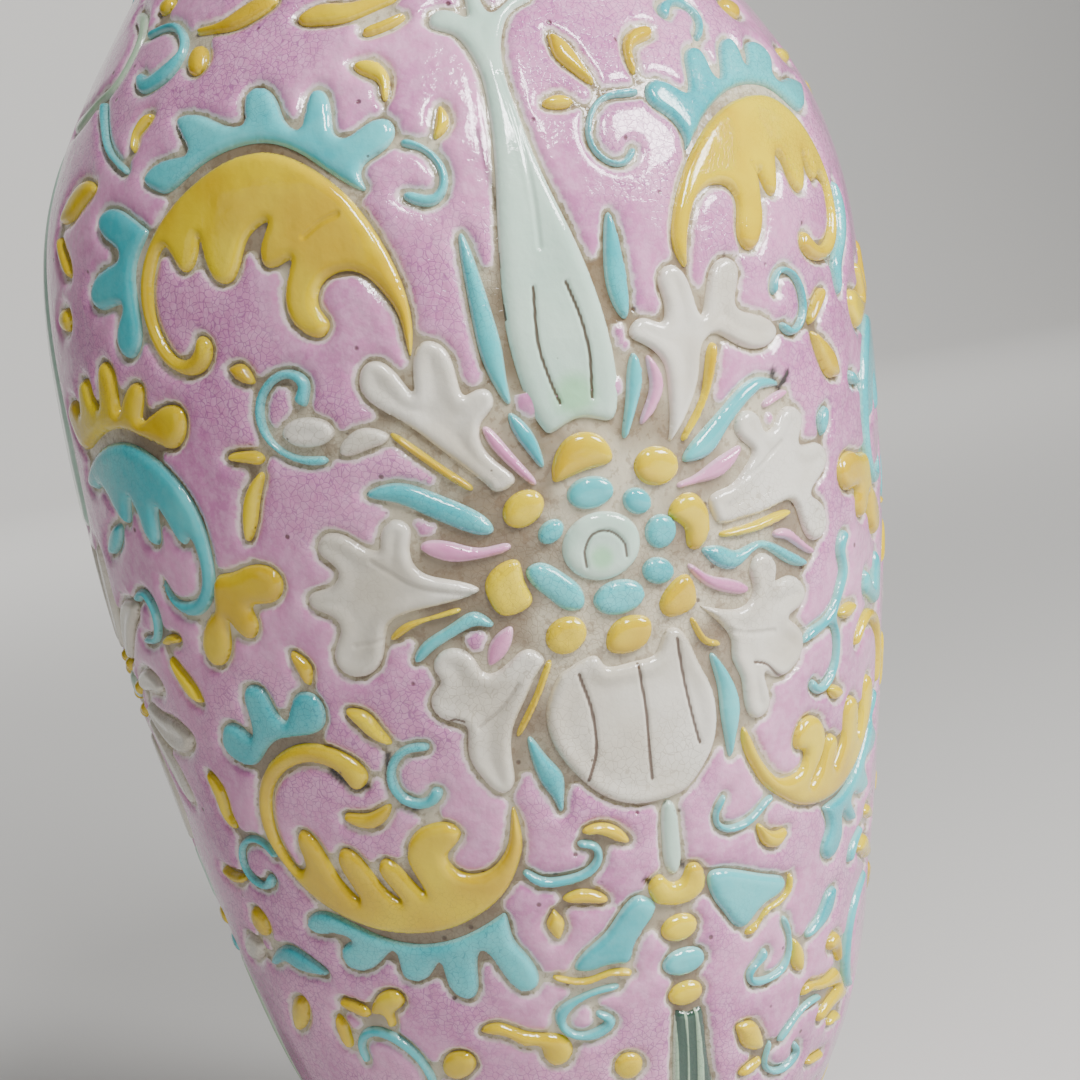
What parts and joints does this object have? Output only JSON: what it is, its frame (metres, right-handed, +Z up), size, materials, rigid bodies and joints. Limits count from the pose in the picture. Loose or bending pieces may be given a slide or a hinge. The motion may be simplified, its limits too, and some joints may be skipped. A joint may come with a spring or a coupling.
{
  "type": "vase",
  "caption": "Baluster vase in glazed porcelain with applied relief lotus, scrolling leaves and tendrils on a pink ground.",
  "frame": {"origin": "middle of the foot ring's resting face", "axes": "+Z up the vase's axis, -Y the front with the lotus in its middle"},
  "size_m": [0.1826, 0.1826, 0.36],
  "materials": {
    "pink_glaze": "gloss",
    "yellow_glaze": "gloss",
    "turquoise_glaze": "gloss",
    "cream_glaze": "gloss",
    "celadon_glaze": "gloss",
    "dark_green_glaze": "gloss",
    "rose_glaze": "gloss",
    "foot_clay": "matte"
  },
  "bodies": {
    "root": {"blades": "turquoise_glaze", "buds": "yellow_glaze", "collar_drops": "yellow_glaze", "collar_lappets": "turquoise_glaze", "foot_buds": "yellow_glaze", "foot_lappets": "turquoise_glaze", "foot_ring": "foot_clay", "gourd_leaf": "celadon_glaze", "inner_tassels": "turquoise_glaze", "lotus_inner_petals": "turquoise_glaze", "lotus_leaves": "cream_glaze", "lotus_outer_petals": "yellow_glaze", "lotus_seed_pod": "celadon_glaze", "lower_body": "pink_glaze", "lower_stem": "celadon_glaze", "middle_bead": "turquoise_glaze", "neck": "pink_glaze", "neck_buds": "yellow_glaze", "neck_leaves": "turquoise_glaze", "pink_petals": "rose_glaze", "ribbon_hems": "yellow_glaze", "ribbon_knot": "yellow_glaze", "ribbons": "turquoise_glaze", "scroll_fringes": "turquoise_glaze", "scroll_leaves": "yellow_glaze", "shell_calyx": "cream_glaze", "side_beads": "yellow_glaze", "side_buds": "yellow_glaze", "side_calyx": "cream_glaze", "side_gourd_leaf": "celadon_glaze", "side_leaves": "cream_glaze", "side_middle_bead": "turquoise_glaze", "side_petals": "yellow_glaze", "side_scroll_fringes": "yellow_glaze", "side_scroll_leaves": "turquoise_glaze", "side_seed_pod": "celadon_glaze", "side_stem": "celadon_glaze", "side_tassel": "dark_green_glaze", "side_tendrils": "turquoise_glaze", "stems": "dark_green_glaze", "tassel": "dark_green_glaze", "tassel_beads": "yellow_glaze", "tendrils": "turquoise_glaze", "upper_body": "pink_glaze", "yellow_petals": "yellow_glaze"}
  },
  "joints": []
}
